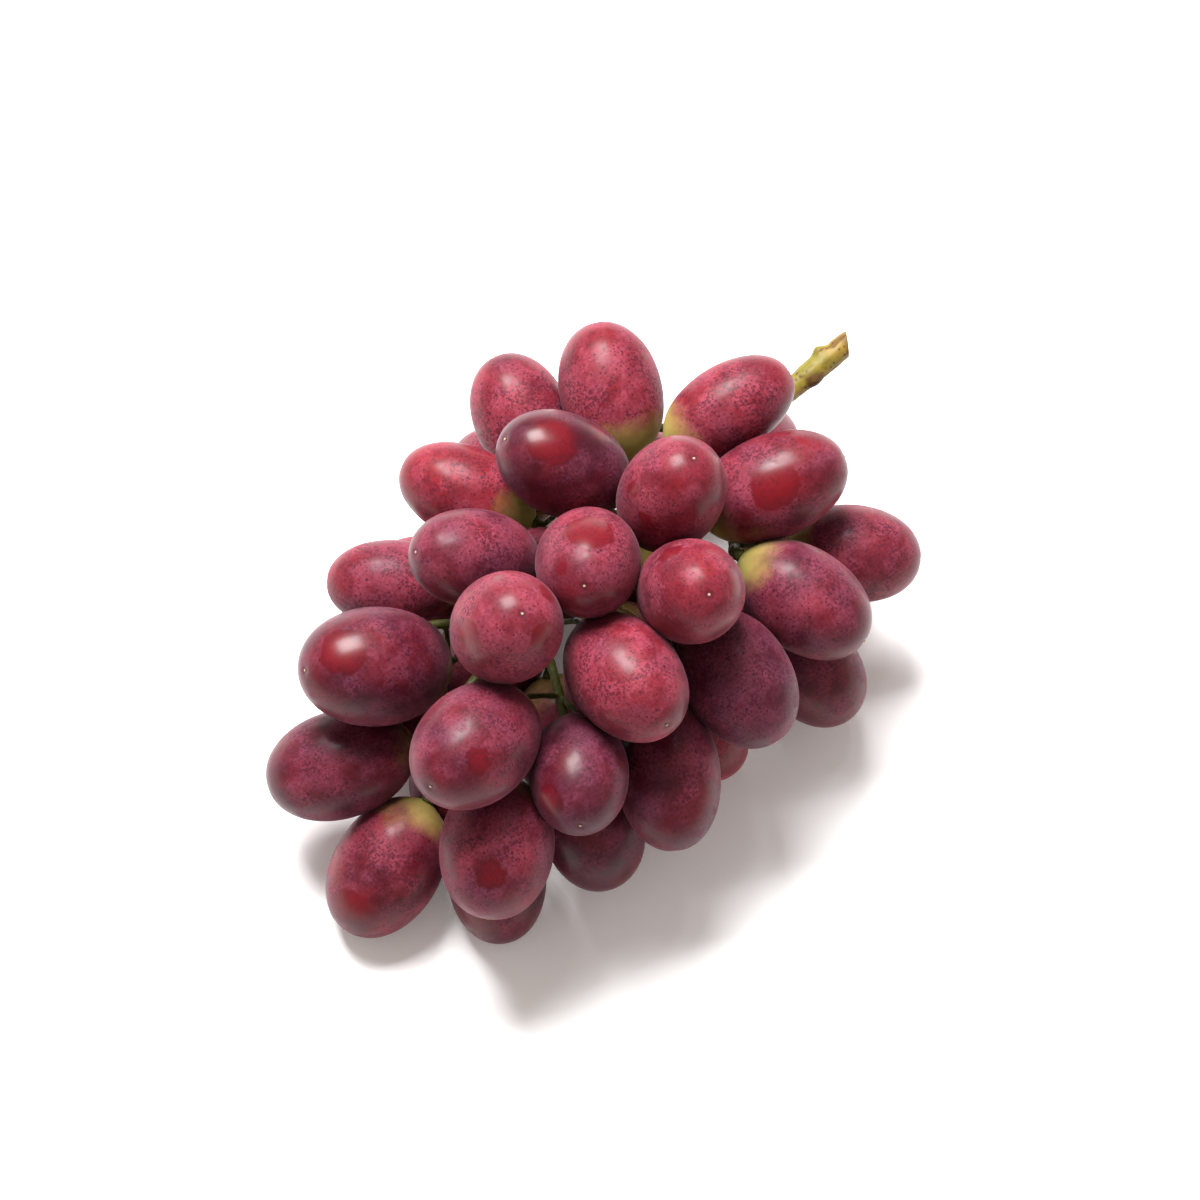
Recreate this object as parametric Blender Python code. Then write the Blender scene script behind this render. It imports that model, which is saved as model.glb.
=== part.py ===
"""A bunch of long red table grapes on its stalk, lying on its side.

Lengths in the tables are millimetres, angles are degrees. +X runs along the
main stem toward its cut end and +Z is up. The finished bunch stands on z = 0
with the origin under the middle of its box.

Each grape is a body of its own. Main stem, side stems and grape stalks grew
as one piece, so they are joined into one body.
"""
import math

import bmesh
import bpy
import numpy as np
from mathutils import Matrix, Vector

# ---- driving dimensions ---------------------------------------------------

MM = 0.001            # metres in a millimetre
GAP = 0.35            # air between neighbouring skins
SINK = 0.5            # how far a grape's own weight flattens it on the table
SEGMENTS = 12         # sides round a grape
RINGS = 8             # rings from a grape's stalk to its tip
BALLS = 9             # balls that stand in for a grape while it finds its place

SETTLE_STEPS = 420    # steps in which crowded grapes ease apart
ROUTE_STEPS = 60      # steps in which a grape's stalk bends clear of its neighbours
ROUTE_SPARE = 0.4     # more air than GAP, for the straight stretches of a stalk
HOLD = 0.06           # how strongly a grape keeps to its own place at first
HOLD_STEPS = 323      # steps over which that hold fades to nothing
EASE = 0.22           # share of an overlap taken away in one step
MOVE = 2.0            # how far a grape moves for the mean push on its balls
TURN = 0.1            # how far it turns for the uneven part of that push
ROUTE_PUSH = 0.5      # share of an overlap that a stalk's point gives way in one step
ROUTE_PULL = 0.2      # how strongly neighbouring points keep a stalk straight

STALK_SIDES = 6       # sides round a stem
LINE_STEPS = 3        # stretches between two points of a stem's table
STEM_ROOM = 2.6       # radius kept free round main and side stems
STALKLET_ROOM = 1.3   # radius kept free round a grape's own stalk
STALKLET_RADIUS = 0.7
ROOT_RADIUS = 0.4     # a stalk's hidden end inside its stem
SEAT_RADIUS = 1.6     # the little collar that a grape sits on
SEAT_LENGTH = 1.5
SEAT_LIP = 0.5        # the part of the collar at its full width
STALKLET_BALLS = 6    # balls that stand in for a grape's stalk while grapes settle
STALKLET_POINTS = 8   # points along a grape's stalk, from its stem to the collar
STALKLET_BEND = 0.25  # where a stalk bends, as a share of its length
STALKLET_LEAN = 6.0   # how far behind a grape its stalk aims for the stem

SKIN_COLOUR = (0.36, 0.05, 0.07, 1.0)
STEM_COLOUR = (0.42, 0.40, 0.13, 1.0)

# ---- the bunch ------------------------------------------------------------

# Main stem from its far tip to the cut end: x, y, z and radius.
MAIN_STEM = [
    (-46, -1, 35, 1.0),
    (-23, 4, 36, 1.3),
    (6, 8, 35, 1.6),
    (35, 10, 34, 1.8),
    (58, 11, 33, 2.1),
    (67, 11, 34, 2.5),
    (77, 11, 35, 2.2),
]

# Side stems, each from where it leaves the main stem to its own tip.
SIDE_STEMS = {
    "front_shoulder": [(40, 10, 34, 0.9), (34, 0, 32, 1.2), (28, -9, 33, 1.0)],
    "back_shoulder": [(47, 10, 34, 0.9), (41, 17, 31, 1.2), (36, 24, 26, 1.0)],
    "front_middle": [(12, 8, 35, 0.9), (7, -5, 37, 1.2), (4, -18, 34, 1.0)],
    "back_middle": [(17, 9, 35, 0.9), (9, 19, 35, 1.2), (2, 27, 30, 1.0)],
    "front_wing": [(-12, 6, 36, 0.8), (-18, -8, 34, 1.1), (-24, -20, 31, 1.0)],
    "back_wing": [(-16, 5, 36, 0.8), (-23, 13, 35, 1.1), (-30, 20, 31, 1.0)],
}

# Grapes by the stem they hang on: x, y, z of the middle, heading and pitch of
# the tip, length, width, and whether the grape lies on the table.
GRAPES = {
    "front_shoulder": [
        (47, -23, 29, -45, -5, 27, 19, False),
        (27, -26, 40, -75, -10, 29, 20, False),
        (27, -32, 17, -80, -35, 26, 19, False),
        (45, -11, 10, -25, -25, 28, 20, True),
    ],
    "back_shoulder": [
        (37, 38, 10, 75, -25, 26, 18, True),
    ],
    "front_middle": [
        (7, -16, 58, -100, 60, 29, 20, False),
        (10, -30, 38, -105, -10, 29, 21, False),
        (2, -26, 16, -80, -35, 26, 18, False),
        (-10, -36, 32, -130, -15, 30, 20, False),
        (-7, -11, 30, -140, -35, 26, 18, False),
        (21, -14, 12, -60, -50, 28, 20, True),
    ],
    "back_middle": [
        (9, 20, 53, 130, 35, 29, 20, False),
        (29, 31, 42, 65, 20, 28, 20, False),
        (14, 41, 33, 75, 20, 27, 19, False),
        (-5, 33, 37, 120, 10, 28, 18, False),
        (9, 41, 10, 95, -30, 27, 19, True),
        (-18, 34, 10, 125, -25, 26, 18, True),
    ],
    "front_wing": [
        (-11, -20, 52, -100, 15, 30, 21, False),
        (-27, -24, 43, -130, 20, 26, 19, False),
        (-27, -30, 17, -115, -40, 27, 20, False),
        (-39, -14, 50, -170, 20, 30, 22, False),
        (-18, -12, 12, -120, -45, 28, 20, True),
    ],
    "back_wing": [
        (-29, 29, 29, 135, 0, 26, 17, False),
        (-43, 17, 39, 160, 30, 32, 23, False),
        (-40, 18, 11, 150, -35, 27, 19, True),
        (-20, 12, 12, 130, -60, 28, 20, True),
    ],
    "main_stem": [
        (18, 1, 57, -20, 70, 29, 20, False),
        (-6, -1, 58, -140, 45, 29, 20, False),
        (-24, -3, 60, -60, 75, 29, 21, False),
        (-17, 18, 50, 150, 35, 28, 19, False),
        (43, 11, 47, -10, 10, 28, 17, False),
        (38, -8, 46, -20, 15, 31, 20, False),
        (-48, -25, 34, -135, -20, 28, 22, False),
        (-48, -25, 11, -125, -40, 27, 19, True),
        (-63, -9, 11, -165, -25, 30, 21, True),
        (-59, 10, 22, 155, -10, 30, 21, False),
        (-38, -4, 12, -170, -50, 28, 20, True),
        (50, 14, 11, 10, -35, 26, 18, True),
        (31, 20, 13, 60, -50, 27, 18, True),
        (18, 7, 13, 0, -70, 28, 20, True),
        (0, 18, 13, 80, -55, 28, 20, True),
        (2, -6, 13, -100, -60, 28, 20, True),
    ],
}


# ---- finding a place for every grape --------------------------------------

def smooth_line(points):
    """Rows on a Catmull-Rom curve through the given rows, ends included."""
    rows = np.array(points, float)
    rows = np.vstack([2 * rows[0] - rows[1], rows, 2 * rows[-1] - rows[-2]])
    line = []
    for before, start, end, after in zip(rows, rows[1:], rows[2:], rows[3:]):
        for t in np.arange(LINE_STEPS) / LINE_STEPS:
            line.append(0.5 * (2 * start + (end - before) * t
                               + (2 * before - 5 * start + 4 * end - after) * t ** 2
                               + (3 * start - before - 3 * end + after) * t ** 3))
    line.append(rows[-2])
    return np.array(line)


def axis_from(heading, pitch):
    """Unit vector from a grape's stalk end to its tip."""
    heading, pitch = np.radians(heading), np.radians(pitch)
    return np.stack([np.cos(pitch) * np.cos(heading),
                     np.cos(pitch) * np.sin(heading),
                     np.sin(pitch)], axis=-1)


def lowest(middle, axis, half_length, half_width):
    """Height of the lowest point of each grape's skin."""
    rise = axis[:, 2] ** 2
    return middle[:, 2] - np.sqrt(half_length ** 2 * rise + half_width ** 2 * (1 - rise))


def grape_balls(middle, axis, half_length, half_width):
    """Middles and radii of the largest balls that fit along the inside of each grape."""
    focus = np.sqrt(half_length ** 2 - half_width ** 2)
    share = np.linspace(-1, 1, BALLS)[None] * (focus / half_length)[:, None]
    balls = middle[:, None] + axis[:, None] * (share * focus[:, None])[..., None]
    return balls, half_width[:, None] * np.sqrt(1 - share ** 2)


def foot_on(line, end, axis):
    """Where a grape's stalk leaves its stem's line: nearest to a point behind the grape."""
    knots = (line[:-1, :3] + line[1:, :3]) / 2
    return knots[np.linalg.norm(knots - end + STALKLET_LEAN * axis, axis=1).argmin()]


def push_apart(balls, radii, owner, others, other_radii, other_owner):
    """Sum of the pushes that bring each ball clear of the balls of other owners."""
    apart = balls[:, None] - others[None]
    distance = np.linalg.norm(apart, axis=2) + 1e-9
    overlap = radii[:, None] + other_radii[None] + GAP - distance
    overlap[owner[:, None] == other_owner[None]] = 0
    overlap = np.clip(overlap, 0, None)
    return (apart * (overlap / distance)[..., None]).sum(axis=1)


def settle(grapes, stems, feet):
    """Ease crowded grapes apart, and clear of every stem, near their own places.

    A grape is a row of balls along its axis, so that balls clear of each other
    mean skins clear of each other.
    """
    count = len(grapes)
    middle, half_length, half_width = grapes[:, :3].copy(), grapes[:, 5] / 2, grapes[:, 6] / 2
    axis = axis_from(grapes[:, 3], grapes[:, 4])
    resting = grapes[:, 7] > 0
    share = np.linspace(-1, 1, BALLS)
    reach = (half_length ** 2 - half_width ** 2) / half_length
    owner = np.repeat(np.arange(count), BALLS)
    home_middle, home_axis = middle.copy(), axis.copy()
    stem_radii = np.full(len(stems), STEM_ROOM)
    stem_owner = np.full(len(stems), -1)
    along = np.linspace(0, 1, STALKLET_BALLS)
    stalklet_owner = np.repeat(np.arange(count), len(along))
    stalklet_radii = np.full(count * len(along), STALKLET_ROOM)
    for step in range(SETTLE_STEPS):
        balls, radii = grape_balls(middle, axis, half_length, half_width)
        flat = balls.reshape(-1, 3)
        ends = middle - axis * half_length[:, None]
        stalklets = feet[:, None] * (1 - along)[None, :, None] + ends[:, None] * along[None, :, None]
        push = push_apart(flat, radii.ravel(), owner, flat, radii.ravel(), owner)
        push += push_apart(flat, radii.ravel(), owner, stems, stem_radii, stem_owner)
        push += push_apart(flat, radii.ravel(), owner, stalklets.reshape(-1, 3),
                           stalklet_radii, stalklet_owner)
        push = (EASE * push).reshape(count, BALLS, 3)
        turn = (push * share[None, :, None]).sum(axis=1) / reach[:, None]
        hold = HOLD * max(0.0, 1 - step / HOLD_STEPS)
        middle += MOVE * push.mean(axis=1) + hold * (home_middle - middle)
        axis += TURN * turn + hold * (home_axis - axis)
        axis /= np.linalg.norm(axis, axis=1, keepdims=True)
        low = lowest(middle, axis, half_length, half_width)
        middle[:, 2] += np.where(resting | (low < -SINK), -SINK - low, 0)
    return middle, axis


def route(foot, seat, axis, balls, radii):
    """A stalk from its stem to the seat under its grape, bent clear of the other grapes."""
    base = seat - axis * SEAT_LENGTH
    turn = base - axis * STALKLET_BEND * np.linalg.norm(base - foot)
    t = np.linspace(0, 1, STALKLET_POINTS)[:, None]
    line = (1 - t) ** 2 * foot + 2 * (1 - t) * t * turn + t ** 2 * base
    room = radii + STALKLET_RADIUS + GAP + ROUTE_SPARE
    for _ in range(ROUTE_STEPS):
        apart = line[:, None] - balls[None]
        distance = np.linalg.norm(apart, axis=2)
        overlap = np.clip(room[None] - distance, 0, None)
        worst = overlap.argmax(axis=1)
        rows = np.arange(len(line))
        push = apart[rows, worst] * (overlap / distance)[rows, worst][:, None]
        pull = np.zeros_like(line)
        pull[1:-1] = (line[:-2] + line[2:]) / 2 - line[1:-1]
        line[1:-2] += (ROUTE_PUSH * push + ROUTE_PULL * pull)[1:-2]
    return np.vstack([line, seat - axis * SEAT_LIP, seat])


# ---- solids ---------------------------------------------------------------

def add_object(name, bm, material):
    """New smooth object from a bmesh in millimetres, its faces turned outward."""
    bmesh.ops.recalc_face_normals(bm, faces=bm.faces)
    bmesh.ops.scale(bm, vec=(MM, MM, MM), verts=bm.verts)
    mesh = bpy.data.meshes.new(name)
    bm.to_mesh(mesh)
    bm.free()
    mesh.shade_smooth()
    mesh.materials.append(material)
    piece = bpy.data.objects.new(name, mesh)
    bpy.context.scene.collection.objects.link(piece)
    return piece


def add_material(name, colour, roughness):
    """Plain Principled material."""
    material = bpy.data.materials.new(name)
    material.use_nodes = True
    shader = material.node_tree.nodes["Principled BSDF"]
    shader.inputs["Base Color"].default_value = colour
    shader.inputs["Roughness"].default_value = roughness
    shader.inputs["Metallic"].default_value = 0.0
    return material


def add_grape(name, middle, axis, length, width, material):
    """A long grape, pressed flat where it meets the table."""
    along = Vector(axis)
    below = Vector((0, 0, -1))
    side = (below - along * below.dot(along)).normalized()
    turn = Matrix((side, along.cross(side), along)).transposed().to_4x4()
    face_down = Matrix.Rotation(math.pi / SEGMENTS, 4, "Z")
    stretch = Matrix.Diagonal((width / 2, width / 2, length / 2, 1))
    place = Matrix.Translation(Vector(middle)) @ turn @ face_down @ stretch
    bm = bmesh.new()
    bmesh.ops.create_uvsphere(bm, u_segments=SEGMENTS, v_segments=RINGS, radius=1, matrix=place)
    if min(vert.co.z for vert in bm.verts) < 0:
        parts = bm.verts[:] + bm.edges[:] + bm.faces[:]
        cut = bmesh.ops.bisect_plane(bm, geom=parts, dist=0.01, plane_co=(0, 0, 0),
                                     plane_no=(0, 0, -1), clear_outer=True)
        rim = [item for item in cut["geom_cut"] if isinstance(item, bmesh.types.BMEdge)]
        bmesh.ops.contextual_create(bm, geom=rim)
    return add_object(name, bm, material)


def add_tube(bm, line, radii):
    """Add a round stem along a line to a bmesh, closed at both ends."""
    points = [Vector(point) for point in line]
    across = (points[1] - points[0]).orthogonal()
    rings = []
    for index, point in enumerate(points):
        ahead = points[min(index + 1, len(points) - 1)] - points[max(index - 1, 0)]
        across = (across - ahead * across.dot(ahead) / ahead.length_squared).normalized()
        other = ahead.normalized().cross(across)
        ring = []
        for side in range(STALK_SIDES):
            angle = 2 * math.pi * side / STALK_SIDES
            out = across * math.cos(angle) + other * math.sin(angle)
            ring.append(bm.verts.new(point + out * radii[index]))
        rings.append(ring)
    for ring, next_ring in zip(rings, rings[1:]):
        for side in range(STALK_SIDES):
            after = (side + 1) % STALK_SIDES
            bm.faces.new((ring[side], ring[after], next_ring[after], next_ring[side]))
    bm.faces.new(reversed(rings[0]))
    bm.faces.new(rings[-1])


# ---- build ----------------------------------------------------------------

for old in list(bpy.data.objects):
    bpy.data.objects.remove(old)

skin = add_material("grape_skin", SKIN_COLOUR, 0.4)
bark = add_material("green_stem", STEM_COLOUR, 0.6)

lines = {"main_stem": smooth_line(MAIN_STEM)}
for stem, points in SIDE_STEMS.items():
    lines[stem] = smooth_line(points)

grapes = np.array([row for rows in GRAPES.values() for row in rows], float)
line_of = [lines[stem] for stem, rows in GRAPES.items() for row in rows]
stem_balls = np.vstack([line[:, :3] for line in lines.values()])

first_axes = axis_from(grapes[:, 3], grapes[:, 4])
first_ends = grapes[:, :3] - first_axes * grapes[:, 5:6] / 2
feet = np.array([foot_on(*row) for row in zip(line_of, first_ends, first_axes)])
middles, axes = settle(grapes, stem_balls, feet)

# The origin goes under the middle of the bunch's box.
lengths, widths = grapes[:, 5], grapes[:, 6]
reach = np.sqrt((lengths[:, None] / 2 * axes) ** 2 + (widths[:, None] / 2) ** 2 * (1 - axes ** 2))
low, high = (middles - reach).min(axis=0), (middles + reach).max(axis=0)
high = np.maximum(high, lines["main_stem"][-1, :3])
shift = np.array([(low[0] + high[0]) / 2, (low[1] + high[1]) / 2, 0])

for number, (middle, axis, length, width) in enumerate(zip(middles, axes, lengths, widths), 1):
    add_grape(f"grape_{number:02d}", middle - shift, axis, length, width, skin)

balls, radii = grape_balls(middles, axes, lengths / 2, widths / 2)
twigs = bmesh.new()
for stem in SIDE_STEMS:
    add_tube(twigs, lines[stem][:, :3] - shift, lines[stem][:, 3])
for foot, middle, axis, length in zip(feet, middles, axes, lengths):
    seat = middle - axis * (length / 2 + GAP)
    line = route(foot, seat, axis, balls.reshape(-1, 3), radii.ravel())
    thickness = [ROOT_RADIUS] + [STALKLET_RADIUS] * (len(line) - 3) + [SEAT_RADIUS] * 2
    add_tube(twigs, line - shift, thickness)
side_stems = add_object("side_stems_and_stalklets", twigs, bark)
side_stems.hide_render = True
side_stems.display_type = "WIRE"

trunk = bmesh.new()
add_tube(trunk, lines["main_stem"][:, :3] - shift, lines["main_stem"][:, 3])
stalk = add_object("stalk", trunk, bark)
join = stalk.modifiers.new("join_side_stems", "BOOLEAN")
join.operation = "UNION"
join.solver = "EXACT"
join.use_self = True
join.object = side_stems
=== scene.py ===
"""A bunch of long red table grapes lying on its side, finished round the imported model.

Lengths inside a section are in millimetres until a piece is put in place.
"""
import math

import bmesh
import bpy
import numpy as np
from mathutils import Matrix, Vector, noise


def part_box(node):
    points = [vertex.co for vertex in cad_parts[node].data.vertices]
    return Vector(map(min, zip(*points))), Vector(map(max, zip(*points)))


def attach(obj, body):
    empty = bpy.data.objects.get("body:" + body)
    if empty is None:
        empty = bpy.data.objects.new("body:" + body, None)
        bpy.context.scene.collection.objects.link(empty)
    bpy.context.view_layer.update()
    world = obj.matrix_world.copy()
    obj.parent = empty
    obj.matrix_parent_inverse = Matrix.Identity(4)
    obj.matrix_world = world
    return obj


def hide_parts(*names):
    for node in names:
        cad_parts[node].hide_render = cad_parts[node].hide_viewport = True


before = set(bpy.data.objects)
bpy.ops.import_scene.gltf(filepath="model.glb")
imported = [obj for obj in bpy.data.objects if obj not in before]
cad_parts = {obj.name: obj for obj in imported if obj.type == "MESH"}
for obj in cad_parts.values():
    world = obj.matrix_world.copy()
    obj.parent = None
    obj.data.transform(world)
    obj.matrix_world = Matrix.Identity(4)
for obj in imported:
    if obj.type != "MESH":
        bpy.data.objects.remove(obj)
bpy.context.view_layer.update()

# ---- stalk ----------------------------------------------------------------
# Main stem, side stems and the grapes' own stalks, grown as one fresh green piece that
# has begun to turn woody. It was snipped off at a slant, and each small stalk ends in
# the knobbly collar that its grape grew from.

MM = 0.001              # metres in a millimetre
SAME_CORNER = 0.01      # corners of the CAD mesh that are closer than this are one
STALK_GRAIN = 0.28      # size of the fine surface's faces
STALK_SMOOTHING = 6     # passes that round off the collars and forks
WART_STEP = 2.4         # spacing of the small swellings along the stems
WART_HEIGHT = 0.16

# The main stem stands clear of the grapes at its cut end, and is thicker there. These
# are lengths from that end.
BARE_STEM = 22.0        # how much of it is out in the light
SHADE_FADE = 5.0       # stretch over which painted shade darkens it on its way into the bunch
BARE_SMOOTHED = 28.0    # how much of it is smoothed once more
BARE_SMOOTHING = 70     # passes of that
RIND_STEM = 26.0        # how much of it has a thicker rind
RIND_FADE = 8.0         # stretch over which that rind thickens
RIND_ADDED = 0.50
END_SLICE = 1.0         # the last slice, whose middle is the middle of the end

# Swellings on the clear stem, from the middle of its end.
BUD = Vector((-7.8, 2.3, 0.6))      # a green bud
BUD_SIZE = 2.0
BUD_HEIGHT = 0.9
KNOT = Vector((-12.4, -2.5, 0.2))   # a brown knot across from it
KNOT_SIZE = 2.2
KNOT_HEIGHT = 0.8
KNOT_REACH = 2.6        # how far its brown spreads
KNOT_WOODY = 0.8        # how brown it is, where the cut is 1

CUT_LEAN = 32           # degrees by which the snipped end leans
CUT_BACK = 1.9          # how far the cut's middle is from the end of the CAD stem
CUT_RIM = 0.35          # width of the rind's edge round the cut
CUT_DEPTH = 0.12        # how far the pith has dried back inside it
CUT_REACH = 3.0         # how far its brown spreads

RIND_GREEN = (0.16, 0.135, 0.012, 1)
RIND_YELLOW = (0.24, 0.155, 0.024, 1)
# painted shade for the stem where it lies among the grapes
RIND_PAINTED_SHADE = (0.035, 0.042, 0.008, 1)
STREAK_BROWN = (0.10, 0.045, 0.010, 1)
FLECK_BROWN = (0.09, 0.035, 0.012, 1)
WOODY_BROWN = (0.070, 0.026, 0.008, 1)
RIND_STRETCH = (0.25, 1.0, 1.0)     # streaks run along the main stem


class Wire:
    """One socket of a material. Sums, differences, products and absolute values of wires add
    Math nodes.
    """

    def __init__(self, tree, socket):
        self.tree = tree
        self.socket = socket

    def node(self, kind, settings, sockets, output=0):
        """A new node: its settings first, then the values or wires of its sockets."""
        made = self.tree.nodes.new(kind)
        for name, value in settings.items():
            setattr(made, name, value)
        for name, value in sockets.items():
            if isinstance(value, Wire):
                self.tree.links.new(value.socket, made.inputs[name])
            else:
                made.inputs[name].default_value = value
        return Wire(self.tree, made.outputs[output])

    def math(self, operation, first, second=0.0):
        return self.node("ShaderNodeMath", {"operation": operation}, {0: first, 1: second})

    def __add__(self, other):
        return self.math("ADD", self, other)

    def __radd__(self, other):
        return self.math("ADD", other, self)

    def __sub__(self, other):
        return self.math("SUBTRACT", self, other)

    def __rsub__(self, other):
        return self.math("SUBTRACT", other, self)

    def __mul__(self, other):
        return self.math("MULTIPLY", self, other)

    def __rmul__(self, other):
        return self.math("MULTIPLY", other, self)

    def __abs__(self):
        return self.math("ABSOLUTE", self)

    def step(self, low, high):
        """0 at low, 1 at high and smooth between. low may be the larger one."""
        return self.node("ShaderNodeMapRange", {"interpolation_type": "SMOOTHSTEP"},
                         {"Value": self, "From Min": low, "From Max": high})

    def tint(self, colour, other):
        """The first colour where this wire is 0 and the other where it is 1."""
        return self.node("ShaderNodeMix", {"data_type": "RGBA"},
                         {"Factor": self, 6: colour, 7: other}, 2)

    def attribute(self, name):
        """A number that the mesh holds at each of its points."""
        return self.node("ShaderNodeAttribute", {"attribute_name": name}, {}, "Fac")

    def cloud(self, size, detail=2.0, shift=0.0):
        """Soft noise about 0.5, in blotches of about that size. Each shift is a new pattern."""
        place = self.node("ShaderNodeVectorMath", {"operation": "ADD"},
                          {0: self, 1: (shift, shift, shift)})
        return self.node("ShaderNodeTexNoise", {"noise_dimensions": "3D"},
                         {"Vector": place, "Scale": 1 / size, "Detail": detail})

    def dots(self, pitch, output):
        """Cells of about that size: the Distance to a cell's middle, or a cell's Color."""
        return self.node("ShaderNodeTexVoronoi", {"feature": "F1"},
                         {"Vector": self, "Scale": 1 / pitch}, output)


def start_material(name):
    """New material: its Principled shader, and its Object coordinates in millimetres."""
    material = bpy.data.materials.new(name)
    material.use_nodes = True
    tree = material.node_tree
    shader = tree.nodes["Principled BSDF"]
    place = Wire(tree, tree.nodes.new("ShaderNodeTexCoord").outputs["Object"])
    here = place.node("ShaderNodeVectorMath", {"operation": "SCALE"},
                      {0: place, "Scale": 1 / MM})
    return material, shader, here


def connect(wire, socket):
    """Lead a wire into a shader's socket."""
    wire.tree.links.new(wire.socket, socket)


def merged_copy(node):
    """Bmesh of a CAD node in millimetres, its loose triangles joined at their corners."""
    bm = bmesh.new()
    bm.from_mesh(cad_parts[node].data)
    bmesh.ops.scale(bm, vec=(1 / MM, 1 / MM, 1 / MM), verts=bm.verts)
    bmesh.ops.remove_doubles(bm, verts=bm.verts, dist=SAME_CORNER)
    return bm


def finish_piece(name, bm, material, node):
    """Put a bmesh in millimetres in the scene as the piece that stands for a CAD node."""
    bmesh.ops.scale(bm, vec=(MM, MM, MM), verts=bm.verts)
    mesh = bpy.data.meshes.new(name)
    bm.to_mesh(mesh)
    bm.free()
    mesh.shade_smooth()
    mesh.materials.append(material)
    piece = bpy.data.objects.new(name, mesh)
    bpy.context.scene.collection.objects.link(piece)
    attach(piece, "root")
    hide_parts(node)
    return piece


def fine_surface(bm, grain):
    """The same solid with one even, fine surface, as a new bmesh."""
    mesh = bpy.data.meshes.new("rough")
    bm.to_mesh(mesh)
    bm.free()
    rough = bpy.data.objects.new("rough", mesh)
    bpy.context.scene.collection.objects.link(rough)
    remesh = rough.modifiers.new("even_out", "REMESH")
    remesh.mode = "VOXEL"
    remesh.voxel_size = grain
    bpy.context.view_layer.update()
    even = rough.evaluated_get(bpy.context.evaluated_depsgraph_get()).to_mesh()
    fine = bmesh.new()
    fine.from_mesh(even)
    bpy.data.objects.remove(rough)
    return fine


def smooth(bm, verts, passes):
    """Round off part of a surface."""
    for _ in range(passes):
        bmesh.ops.smooth_vert(bm, verts=verts, factor=0.5, use_axis_x=True, use_axis_y=True,
                              use_axis_z=True)


def swell(bm, middle, size, height):
    """Raise a round swelling on a surface."""
    for vert in bm.verts:
        gap = (vert.co - middle).length / size
        if gap < 2:
            vert.co += vert.normal * height * math.exp(-2 * gap * gap)


def share(value):
    """The value, kept between 0 and 1."""
    return min(1.0, max(0.0, value))


def green_stem_finish():
    """Yellow-green rind with painted shade where it runs into the bunch, brown flecks and a
    brown cut end.
    """
    material, shader, here = start_material("green_stem")
    stretched = here.node("ShaderNodeVectorMath", {"operation": "MULTIPLY"},
                          {0: here, 1: RIND_STRETCH})
    streak = stretched.cloud(1.3, 4.0).step(0.50, 0.66)
    fleck = here.dots(1.3, "Distance").step(0.36, 0.20)
    fleck = fleck * here.cloud(5.0, 1.0, 40.0).step(0.40, 0.55)

    rind = here.cloud(6.0, 3.0).step(0.35, 0.65).tint(RIND_GREEN, RIND_YELLOW)
    rind = (streak * 0.8).tint(rind, STREAK_BROWN)
    rind = (fleck * 0.9).tint(rind, FLECK_BROWN)
    # Painted shade: the stem darkens where it runs in among the grapes.
    rind = (here.attribute("bunch_shade") * 0.9).tint(rind, RIND_PAINTED_SHADE)
    rind = here.attribute("woody").tint(rind, WOODY_BROWN)
    connect(rind, shader.inputs["Base Color"])
    connect(0.50 + 0.25 * streak, shader.inputs["Roughness"])
    relief = stretched.cloud(0.7, 4.0) * 0.5 + fleck * 0.3
    bump = here.node("ShaderNodeBump", {},
                     {"Strength": 0.5, "Distance": 0.2 * MM, "Height": relief})
    connect(bump, shader.inputs["Normal"])
    shader.inputs["Specular IOR Level"].default_value = 0.25
    shader.inputs["Subsurface Weight"].default_value = 0.12
    shader.inputs["Subsurface Radius"].default_value = (1.2 * MM, 1.2 * MM, 0.4 * MM)
    shader.inputs["Subsurface Scale"].default_value = 1.0
    return material


stem = fine_surface(merged_copy("stalk"), STALK_GRAIN)
smooth(stem, stem.verts, STALK_SMOOTHING)
end_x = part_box("stalk")[1][0] / MM
smooth(stem, [vert for vert in stem.verts if vert.co.x > end_x - BARE_SMOOTHED], BARE_SMOOTHING)
stem.normal_update()
for vert in stem.verts:
    wart = noise.noise(vert.co / WART_STEP) + 0.5 * noise.noise(vert.co / (0.4 * WART_STEP))
    vert.co += vert.normal * WART_HEIGHT * wart
for vert in stem.verts:
    vert.co += vert.normal * RIND_ADDED * share((vert.co.x - end_x + RIND_STEM) / RIND_FADE)
end_points = [vert.co for vert in stem.verts if vert.co.x > end_x - END_SLICE]
stem_end = sum(end_points, Vector()) / len(end_points)
swell(stem, stem_end + BUD, BUD_SIZE, BUD_HEIGHT)
swell(stem, stem_end + KNOT, KNOT_SIZE, KNOT_HEIGHT)

# The slanted cut, capped, with its rind standing a little above its pith.
lean = math.radians(CUT_LEAN)
parts = stem.verts[:] + stem.edges[:] + stem.faces[:]
cut = bmesh.ops.bisect_plane(stem, geom=parts, dist=0.001, clear_outer=True,
                             plane_co=stem_end - Vector((CUT_BACK, 0, 0)),
                             plane_no=(math.cos(lean), -math.sin(lean), 0))
rim = [item for item in cut["geom_cut"] if isinstance(item, bmesh.types.BMEdge)]
capped = bmesh.ops.contextual_create(stem, geom=rim)
cut_face = max(capped["faces"], key=lambda face: face.calc_area())
cut_middle = cut_face.calc_center_median()
bmesh.ops.inset_region(stem, faces=[cut_face], thickness=CUT_RIM, depth=-CUT_DEPTH)
bmesh.ops.triangulate(stem, faces=[face for face in stem.faces if len(face.verts) > 4])

# Brown of the cut and the knot, and painted shade along the stem as it runs into the bunch.
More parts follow.
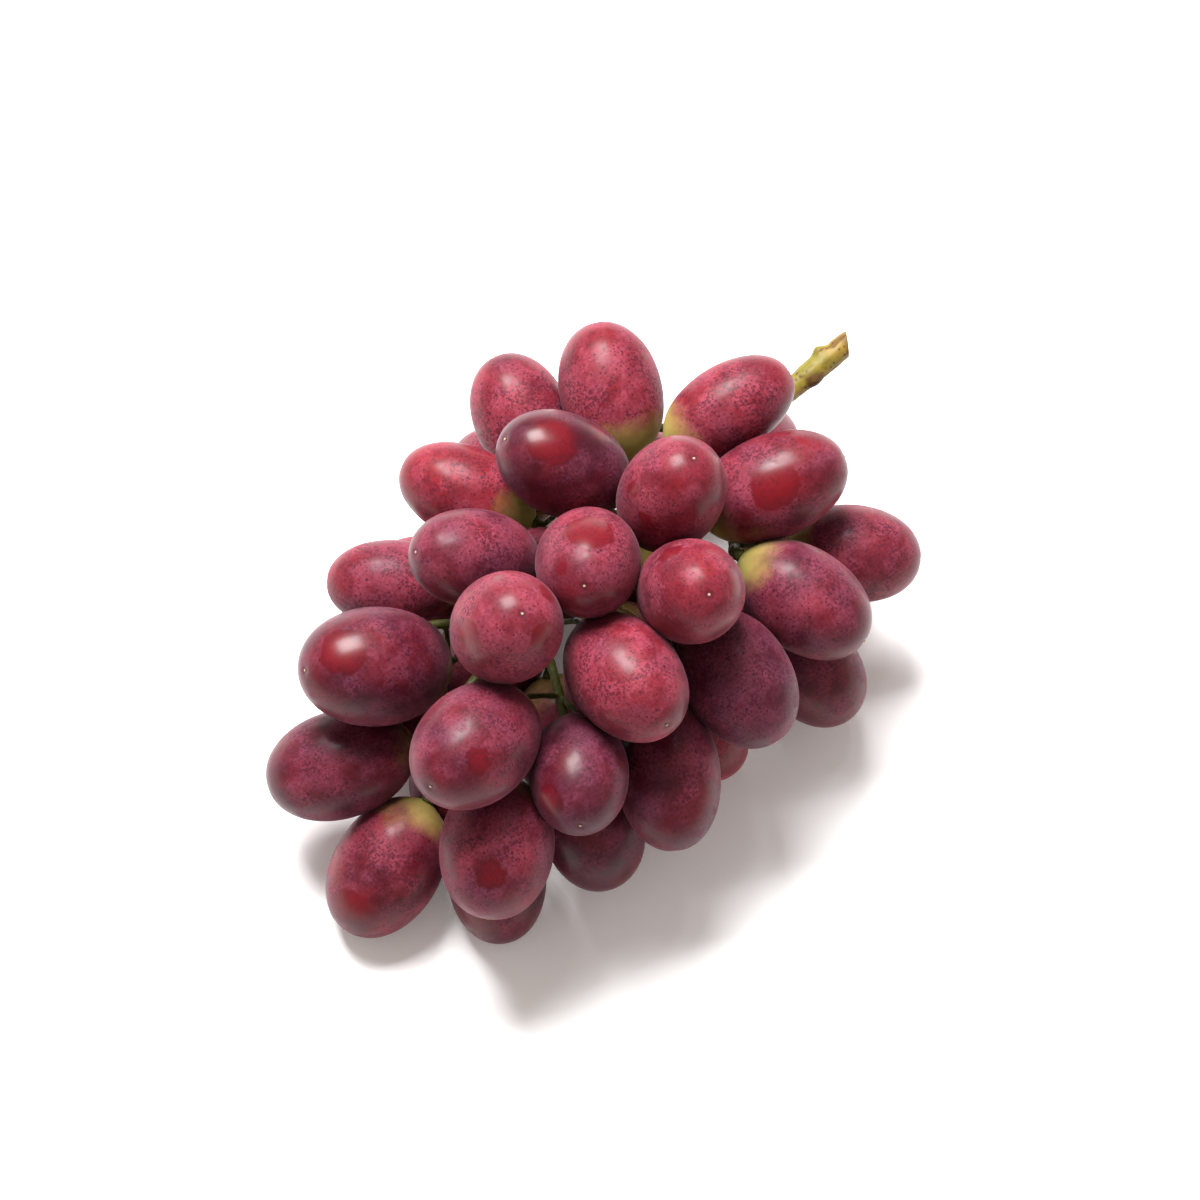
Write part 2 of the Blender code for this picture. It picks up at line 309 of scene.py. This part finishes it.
woody, bunch_shade = [], []
for vert in stem.verts:
    bunch_shade.append(share((stem_end.x - BARE_STEM - vert.co.x) / SHADE_FADE))
    at_cut = share(CUT_REACH - (vert.co - cut_middle).length)
    at_knot = share(KNOT_REACH - (vert.co - stem_end - KNOT).length)
    woody.append(max(at_cut, at_knot * KNOT_WOODY))
stalk = finish_piece("grape_stalk", stem, green_stem_finish(), "stalk")
stalk.data.attributes.new("woody", "FLOAT", "POINT").data.foreach_set("value", woody)
stalk.data.attributes.new("bunch_shade", "FLOAT", "POINT").data.foreach_set("value", bunch_shade)

# ---- grapes ---------------------------------------------------------------
# Long red table grapes: thin tight skin over clear flesh, wine-red under a matt lilac
# bloom that rubs off glossy where they were handled or touch. Each keeps a small dry
# dot at its tip and fades to yellow-green where it grew from its collar.

AROUND = 72             # faces round a grape
FINE_RINGS = 44         # rings from its stalk to its tip
END_RINGS = (0.004, 0.009, 0.014, 0.021, 0.030, 0.042, 0.056)   # more rings at both ends
SAME_POINT = 0.0005     # spun points that are closer than this are one
CAD_RINGS = 8           # rings of its CAD node
PLUMP = 0.50            # how much wider and longer than that node, pressed on its neighbours
FULLNESS = 0.92         # below 1, ends rounder than an ellipse's
UNEVEN = 0.22           # depth of the soft dents in its shape
UNEVEN_SIZE = 11.0
NECK = 0.6              # how far its stalk end swells into the collar
NECK_SIZE = 2.4
SCAR_PIT = 0.22         # the dimple at its tip
SCAR_PIT_SIZE = 1.1
SCAR_DOT = 0.28         # the dry dot in the middle of the dimple
SCAR_DOT_SIZE = 0.3
PRESS = 0.25            # softness of the edge of the flat pressed by its weight
NO_RUB = 9.0            # a rub's edge is never farther than this

FLESH_ROSY = (0.170, 0.004, 0.008, 1)
FLESH_WINE = (0.034, 0.0015, 0.005, 1)
FLESH_MOTTLE = (0.060, 0.002, 0.006, 1)
FLESH_RUBBED = (0.150, 0.002, 0.006, 1)
BLOOM_ROSY = (0.31, 0.050, 0.078, 1)
BLOOM_WINE = (0.125, 0.028, 0.056, 1)
SPECKLE_DARK = (0.034, 0.0022, 0.009, 1)
SCRATCH_DULL = (0.10, 0.008, 0.02, 1)
STALK_END_GREEN = (0.36, 0.30, 0.075, 1)
TIP_RING = (0.07, 0.006, 0.016, 1)
TIP_DOT = (0.36, 0.27, 0.17, 1)

# Skin of a grape: how dark and purple, how much bloom, how green its stalk end is. For grape_19
# the darkness is partly painted shade, for the shade it lies in.
USUAL_SKIN = (0.50, 0.55, 0.45)
SKINS = {
    "grape_01": (0.45, 0.60, 0.60),
    "grape_02": (0.70, 0.50, 0.75),
    "grape_03": (0.75, 0.40, 0.30),
    "grape_06": (0.35, 0.60, 0.20),
    "grape_07": (1.00, 0.75, 0.10),
    "grape_08": (0.15, 0.35, 0.90),
    "grape_09": (0.80, 0.45, 0.30),
    "grape_12": (0.90, 0.35, 0.30),
    "grape_13": (0.25, 0.55, 1.00),
    "grape_14": (0.35, 0.65, 0.40),
    "grape_15": (0.10, 0.40, 0.85),
    "grape_18": (0.35, 0.60, 0.30),
    "grape_19": (0.95, 0.55, 0.30),
    "grape_20": (0.85, 0.35, 0.30),
    "grape_21": (0.65, 0.60, 0.30),
    "grape_23": (0.55, 0.70, 0.30),
    "grape_24": (0.80, 0.45, 0.30),
    "grape_27": (0.45, 0.60, 0.60),
    "grape_28": (0.45, 0.70, 0.20),
    "grape_29": (0.35, 0.75, 0.20),
    "grape_30": (0.70, 0.65, 0.30),
    "grape_31": (0.30, 0.50, 0.75),
    "grape_32": (0.50, 0.40, 0.70),
    "grape_33": (0.55, 0.60, 0.30),
    "grape_34": (0.85, 0.40, 0.30),
    "grape_35": (0.55, 0.40, 0.45),
    "grape_36": (0.80, 0.45, 0.10),
}

# Places where the bloom is rubbed off: share of the way from stalk end to tip, degrees
# round the grape from its upper side, and radius.
RUBS = {
    "grape_06": [(0.90, -100, 3.0), (0.68, 10, 2.6), (0.74, 100, 1.4)],
    "grape_12": [(0.80, 0, 5.5), (0.45, 35, 3.4)],
    "grape_19": [(0.86, 60, 3.4), (0.55, -60, 2.2)],
    "grape_21": [(0.80, -35, 3.0)],
    "grape_24": [(0.86, 0, 5.0)],
    "grape_27": [(0.66, -8, 1.5), (0.58, 28, 1.6), (0.90, 170, 3.4)],
    "grape_28": [(0.74, 0, 5.2), (0.93, 60, 1.6)],
    "grape_29": [(0.93, 180, 2.8), (0.74, 62, 3.2), (0.80, -25, 1.1), (0.85, -100, 2.4)],
    "grape_32": [(0.55, 20, 5.0)],
    "grape_33": [(0.72, 0, 3.2)],
    "grape_34": [(0.70, 40, 5.0)],
    "grape_35": [(0.80, 0, 4.2)],
}


def skin_finish():
    """Wine-red skin, its bloom, rubs, speckles, scratches, green end and dry tip."""
    material, shader, here = start_material("grape_skin")
    along = here.attribute("along")
    from_tip = here.attribute("from_tip")
    darkness_and_shade = here.attribute("darkness_and_shade")
    waxy = here.attribute("waxy")
    green = here.attribute("green")
    rub_edge = here.attribute("rub_edge")

    # Flesh seen through bare skin, from rosy to deep wine, darker where a grape's darkness is
    # set higher; for grape_19 that darkness is partly painted shade.
    broad = here.cloud(9.0, 3.0)
    depth = (broad * 1.6 - 0.8 + darkness_and_shade).step(-0.25, 1.25)
    bare = depth.tint(FLESH_ROSY, FLESH_WINE)
    mottle = here.cloud(1.6, 4.0, 11.0)
    bare = (mottle.step(0.42, 0.68) * 0.45).tint(bare, FLESH_MOTTLE)

    # Rubbed places with ragged edges, clearer and redder inside, and fainter ones that
    # every grape has here and there towards its tip.
    worn = rub_edge + (here.cloud(2.6, 4.0, 31.0) - 0.5) * 3.6
    glow = (worn + 0.4).step(1.4, -2.6)
    bare = (glow * 0.6).tint(bare, FLESH_RUBBED)
    own_rub = (here.cloud(6.0, 3.0, 57.0) + along * 0.26 - waxy * 0.14).step(0.56, 0.68)
    rubbed = here.math("MAXIMUM", worn.step(0.5, -0.5), own_rub * 0.6)

    # Bloom lies thick in some places and thin in others, finely broken up.
    ragged = here.cloud(0.6, 4.0, 23.0)
    wax = (here.cloud(5.0, 3.0, 71.0) + waxy * 0.5 - 0.3).step(0.10, 0.58)
    wax = wax * (0.55 + 0.55 * ragged.step(0.34, 0.68)) * (1 - rubbed * 0.92)
    skin = (wax * 0.80).tint(bare, depth.tint(BLOOM_ROSY, BLOOM_WINE))

    # Speckles, small and large, and the meshed patches where they crowd on the flanks.
    flank = along.step(0.12, 0.40) * along.step(1.0, 0.72)
    crowd = here.cloud(6.0, 2.0, 83.0).step(0.40, 0.58) * flank
    meshed = here.cloud(0.7, 4.0, 5.0).step(0.51, 0.57) * crowd
    small = here.dots(0.62, "Distance").step(0.50, 0.22)
    small = small * (here.dots(0.62, "Color") + crowd * 0.34).step(0.62, 0.72)
    large = here.dots(1.4, "Distance").step(0.32, 0.16)
    large = large * (here.dots(1.4, "Color") + crowd * 0.25).step(0.72, 0.80)
    speckle = here.math("MAXIMUM", small * 0.85, large * 0.9)
    speckle = here.math("MAXIMUM", speckle, meshed * 0.75) * (1 - rubbed * 0.5)
    skin = (speckle * 0.85).tint(skin, SPECKLE_DARK)

    # A few thin scratches.
    scratch = abs(here.cloud(8.0, 1.5, 97.0) - 0.5).step(0.006, 0.002)
    scratch = scratch * here.cloud(5.0, 1.0, 13.0).step(0.58, 0.64)
    skin = (scratch * 0.6).tint(skin, SCRATCH_DULL)

    # Green stalk end.
    fade = (along + (broad - 0.5) * 0.34 - green * 0.20).step(0.10, -0.16)
    skin = (fade * 0.95).tint(skin, STALK_END_GREEN)

    # Dry tip: a pale dot in a dark ring.
    ring = from_tip.step(1.5, 0.5)
    skin = (ring * 0.7).tint(skin, TIP_RING)
    dot = from_tip.step(0.38, 0.26)
    skin = dot.tint(skin, TIP_DOT)

    connect(skin, shader.inputs["Base Color"])
    connect(0.46 + wax * 0.20 - rubbed * 0.12 + dot * 0.3, shader.inputs["Roughness"])
    connect(0.13 - wax * 0.08 + rubbed * 0.10, shader.inputs["Coat Weight"])
    relief = broad * 0.5 + mottle * 0.10 + ragged * 0.02 - speckle * 0.03 - rubbed * 0.02
    bump = here.node("ShaderNodeBump", {},
                     {"Strength": 0.35, "Distance": 0.5 * MM, "Height": relief})
    connect(bump, shader.inputs["Normal"])
    shader.inputs["Coat Roughness"].default_value = 0.24
    shader.inputs["Specular IOR Level"].default_value = 0.16
    shader.inputs["IOR"].default_value = 1.42
    shader.inputs["Subsurface Weight"].default_value = 0.22
    shader.inputs["Subsurface Radius"].default_value = (4.2 * MM, 0.9 * MM, 1.0 * MM)
    shader.inputs["Subsurface Scale"].default_value = 1.0
    shader.inputs["Sheen Weight"].default_value = 0.07
    shader.inputs["Sheen Roughness"].default_value = 0.42
    shader.inputs["Sheen Tint"].default_value = (0.86, 0.62, 0.76, 1)
    return material


def measure_grape(node, stalk_points):
    """A CAD grape's stalk end, axis, half length and half width, from its first ring."""
    bm = merged_copy(node)
    sides = max(len(vert.link_edges) for vert in bm.verts)
    poles = [vert for vert in bm.verts if len(vert.link_edges) == sides]
    pole = min(poles, key=lambda vert: np.linalg.norm(stalk_points - vert.co, axis=1).min())
    ring = [edge.other_vert(pole).co for edge in pole.link_edges]
    middle = sum(ring, Vector()) / len(ring)
    turn = math.pi / CAD_RINGS
    half_length = (middle - pole.co).length / (1 - math.cos(turn))
    half_width = sum((point - middle).length for point in ring) / len(ring) / math.sin(turn)
    stalk_end, axis = pole.co.copy(), (middle - pole.co).normalized()
    bm.free()
    return stalk_end, axis, half_length + PLUMP / 2, half_width + PLUMP


def grape_profile(half_length, half_width):
    """Points along a grape's outline as (out, along), closer together at both ends."""
    even = np.linspace(0, 1, FINE_RINGS + 1)
    ends = np.array(END_RINGS)
    points = []
    for way in np.unique(np.concatenate([even, ends, 1 - ends])):
        angle = math.pi * way
        out = half_width * math.sin(angle) ** FULLNESS
        at = half_length * (1 - math.cos(angle))
        near_tip = out if at > half_length else 2 * half_width
        near_stalk = out if at < half_length else 2 * half_width
        at -= SCAR_PIT * math.exp(-(near_tip / SCAR_PIT_SIZE) ** 2)
        at += SCAR_DOT * math.exp(-(near_tip / SCAR_DOT_SIZE) ** 4)
        at -= NECK * math.exp(-(near_stalk / NECK_SIZE) ** 2)
        points.append((out if 0 < way < 1 else 0.0, at))
    return points


def add_grape(node, number, material, stalk_points):
    """The fine grape that stands for one CAD grape."""
    stalk_end, axis, half_length, half_width = measure_grape(node, stalk_points)
    bm = bmesh.new()
    chain = [bm.verts.new((out, 0, at)) for out, at in grape_profile(half_length, half_width)]
    outline = [bm.edges.new(pair) for pair in zip(chain, chain[1:])]
    bmesh.ops.spin(bm, geom=chain + outline, cent=(0, 0, 0), axis=(0, 0, 1), dvec=(0, 0, 0),
                   angle=2 * math.pi, steps=AROUND, use_merge=True)
    bmesh.ops.remove_doubles(bm, verts=bm.verts, dist=SAME_POINT)
    bmesh.ops.recalc_face_normals(bm, faces=bm.faces)

    rubs = []
    for way, degrees, radius in RUBS.get(node, []):
        out = half_width * math.sqrt(max(0.0, 1 - (2 * way - 1) ** 2))
        angle = math.radians(degrees)
        middle = Vector((out * math.cos(angle), out * math.sin(angle), way * 2 * half_length))
        rubs.append((middle, radius))

    # The spun shape stands on its stalk end. It gets its dents, turns to its own axis with
    # its upper side up, goes to its collar, and is pressed flat where it meets the table.
    up = Vector((0, 0, 1))
    top = (up - axis * up.dot(axis)).normalized()
    turn = Matrix((top, axis.cross(top), axis)).transposed()
    own_dents = Vector((number * 17.3, number * 5.1, 0))
    tip = Vector((0, 0, 2 * half_length))
    along, from_tip, rub_edge = [], [], []
    for vert in bm.verts:
        spun = vert.co.copy()
        along.append(spun.z / (2 * half_length))
        from_tip.append((spun - tip).length)
        gaps = [(spun - middle).length - radius for middle, radius in rubs]
        rub_edge.append(min(gaps + [NO_RUB]))
        out = math.hypot(spun.x, spun.y)
        dent = UNEVEN * (0.5 + 0.5 * noise.noise(spun / UNEVEN_SIZE + own_dents))
        vert.co -= Vector((spun.x, spun.y, 0)) * min(dent / max(out, 1.0), 1.0)
        vert.co = turn @ vert.co + stalk_end
        height = vert.co.z
        vert.co.z = 0.5 * (height + math.sqrt(height * height + PRESS * PRESS))

    darkness_and_shade, waxy, green = SKINS.get(node, USUAL_SKIN)
    piece = finish_piece("red_" + node, bm, material, node)
    count = len(along)
    values = {"along": along, "from_tip": from_tip, "rub_edge": rub_edge,
              "darkness_and_shade": [darkness_and_shade] * count, "waxy": [waxy] * count, "green": [green] * count}
    for name, numbers in values.items():
        piece.data.attributes.new(name, "FLOAT", "POINT").data.foreach_set("value", numbers)


grape_skin = skin_finish()
stalk_points = np.array([vert.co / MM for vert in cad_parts["stalk"].data.vertices])
grape_nodes = sorted(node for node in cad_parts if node.startswith("grape_"))
for number, node in enumerate(grape_nodes, 1):
    add_grape(node, number, grape_skin, stalk_points)

# ---- floor and light ------------------------------------------------------
# A plain white table in a bright, slightly warm white room. One broad soft light stands
# high behind the bunch, a little to the left, and one small one makes the gleams. These
# sizes are in metres.

VIEW_TURN = math.radians(40)     # the camera stands this far round from the -Y side
VIEW_HEIGHT = math.radians(68)   # and this far above the table
VIEW_DISTANCE = 1.2
VIEW_WIDTH = 0.24                # width of what it sees, at the bunch
VIEW_MIDDLE = Vector((0.0003, -0.0022, 0.035))
TABLE_SIZE = 3.0

bm = bmesh.new()
bmesh.ops.create_grid(bm, x_segments=1, y_segments=1, size=TABLE_SIZE)
floor_mesh = bpy.data.meshes.new("table_top")
bm.to_mesh(floor_mesh)
bm.free()
floor = bpy.data.objects.new("table_top", floor_mesh)
bpy.context.scene.collection.objects.link(floor)
white = bpy.data.materials.new("white_table")
white.use_nodes = True
white_shader = white.node_tree.nodes["Principled BSDF"]
white_shader.inputs["Base Color"].default_value = (0.92, 0.92, 0.92, 1)
white_shader.inputs["Emission Color"].default_value = (1.0, 0.95, 0.91, 1)
white_shader.inputs["Emission Strength"].default_value = 0.10
white_shader.inputs["Roughness"].default_value = 0.8
white_shader.inputs["Specular IOR Level"].default_value = 0.2
floor_mesh.materials.append(white)

right = Vector((math.cos(VIEW_TURN), -math.sin(VIEW_TURN), 0))
away = Vector((math.sin(VIEW_TURN), math.cos(VIEW_TURN), 0))


def add_softbox(name, heading, height, distance, size, power):
    """A square soft light. Heading 0 is behind the bunch as the camera sees it, 90 its left."""
    angle = math.radians(heading)
    rise = math.radians(height)
    level = away * math.cos(angle) - right * math.sin(angle)
    place = VIEW_MIDDLE + (level * math.cos(rise) + Vector((0, 0, math.sin(rise)))) * distance
    light = bpy.data.lights.new(name, "AREA")
    light.size = size
    light.energy = power
    lamp = bpy.data.objects.new(name, light)
    lamp.location = place
    lamp.rotation_euler = (VIEW_MIDDLE - place).to_track_quat("-Z", "Y").to_euler()
    bpy.context.scene.collection.objects.link(lamp)


add_softbox("key_light", heading=20, height=59, distance=1.1, size=0.55, power=37.0)
add_softbox("highlight", heading=-30, height=64, distance=1.2, size=0.09, power=0.7)

world = bpy.data.worlds.new("white_room")
world.use_nodes = True
world.node_tree.nodes["Background"].inputs["Color"].default_value = (1.0, 0.91, 0.86, 1)
world.node_tree.nodes["Background"].inputs["Strength"].default_value = 0.50
bpy.context.scene.world = world
bpy.context.scene.view_settings.view_transform = "Standard"

# ---- camera ---------------------------------------------------------------
# A long lens, high above the front of the bunch.

SENSOR = 36.0                    # width of the camera's sensor in millimetres

level = -away * math.cos(VIEW_HEIGHT)
eye = VIEW_MIDDLE + (level + Vector((0, 0, math.sin(VIEW_HEIGHT)))) * VIEW_DISTANCE
camera_data = bpy.data.cameras.new("camera")
camera_data.sensor_width = SENSOR
camera_data.lens = SENSOR * VIEW_DISTANCE / VIEW_WIDTH
camera = bpy.data.objects.new("camera", camera_data)
camera.location = eye
camera.rotation_euler = (VIEW_MIDDLE - eye).to_track_quat("-Z", "Y").to_euler()
bpy.context.scene.collection.objects.link(camera)
bpy.context.scene.camera = camera
